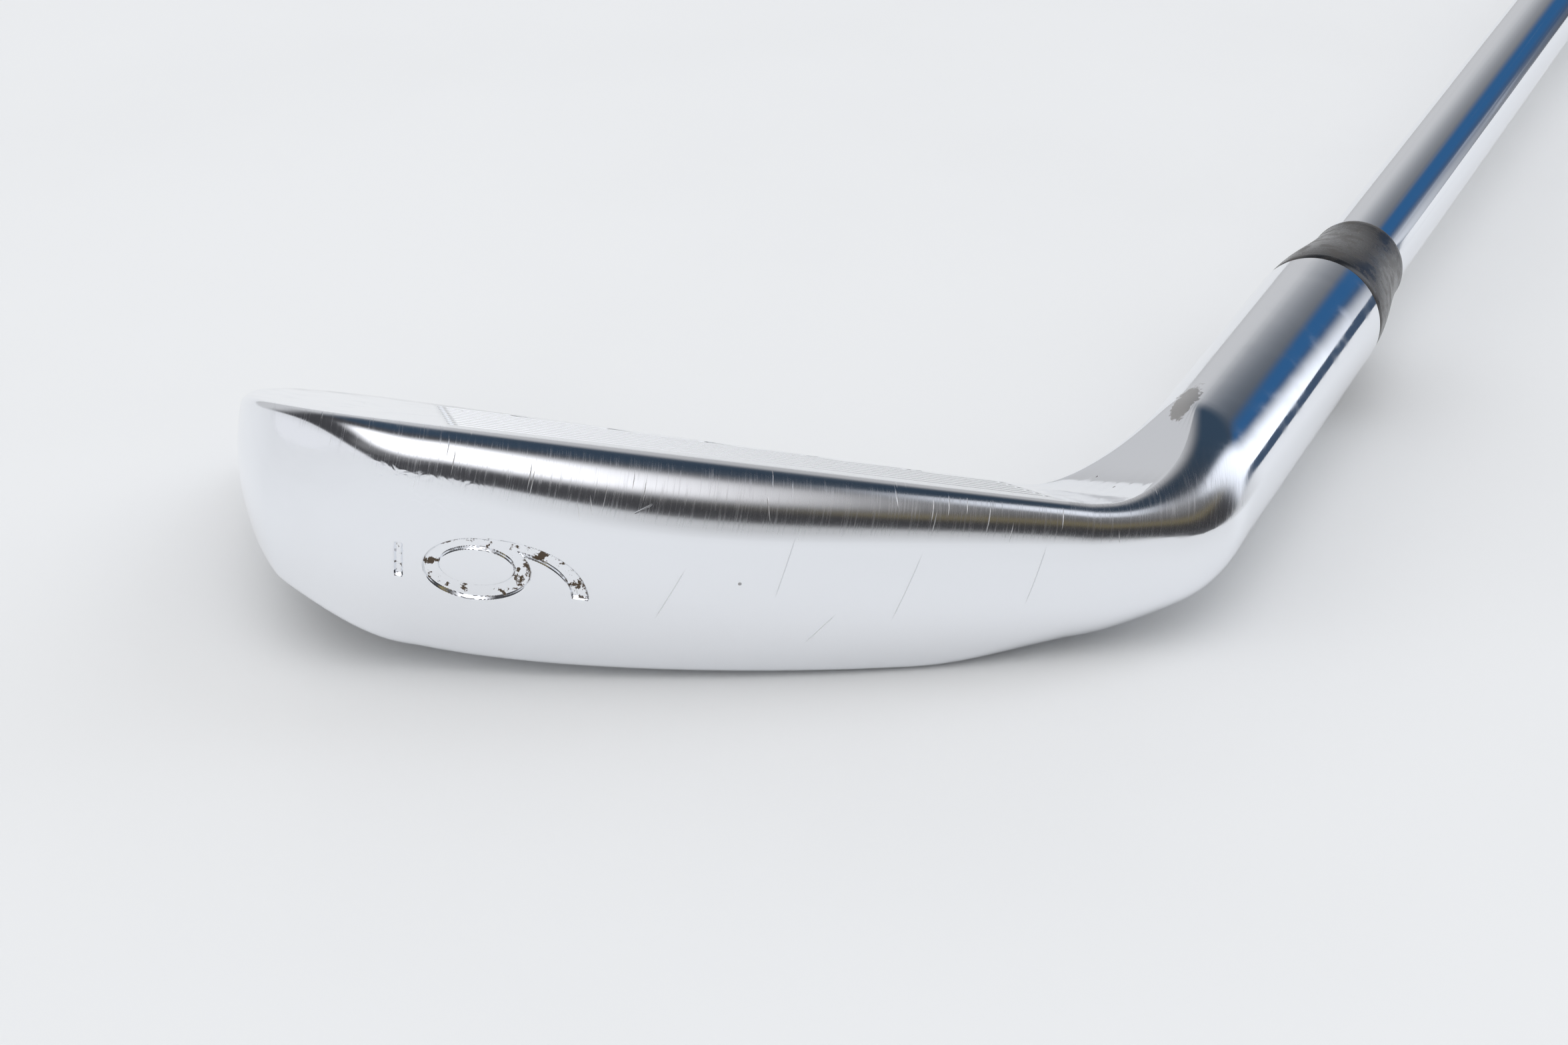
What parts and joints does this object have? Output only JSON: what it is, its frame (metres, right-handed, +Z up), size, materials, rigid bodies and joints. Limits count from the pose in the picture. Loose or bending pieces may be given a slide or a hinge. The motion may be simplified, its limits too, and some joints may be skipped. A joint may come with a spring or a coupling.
{
  "type": "iron golf club",
  "caption": "Right-handed cavity-back iron golf club: lofted grooved head with bent hosel, ferrule, stepped steel shaft and tapered rubber grip, lying face up.",
  "frame": {"origin": "the middle of the underside of the whole club's box, on the ground that the club lies on", "axes": "+X along the shaft from the head to the grip, within 0.2 degrees; +Y towards the toe's side; +Z up from the ground, the way the face looks when the club lies on its back"},
  "size_m": [0.9827, 0.101, 0.0268],
  "materials": {
    "head_chrome": "satin chrome plate over cast steel, scuffed on the sole and leading edge, blasted in the scoring area",
    "ferrule_plastic": "black cellulose plastic, worn satin",
    "shaft_chrome": "bright chrome-plated steel tube",
    "epoxy": "set resin",
    "weight_brass": "turned",
    "tape_paper": "double-sided crepe tape",
    "grip_rubber": "moulded tread, matte",
    "cap_rubber": "smooth moulded rubber"
  },
  "bodies": {
    "root": {"club_head": "head_chrome", "ferrule": "ferrule_plastic", "shaft": "shaft_chrome", "hosel_epoxy": "epoxy", "tip_weight": "weight_brass", "grip_tape": "tape_paper", "grip": "grip_rubber", "grip_cap": "cap_rubber"}
  },
  "joints": []
}
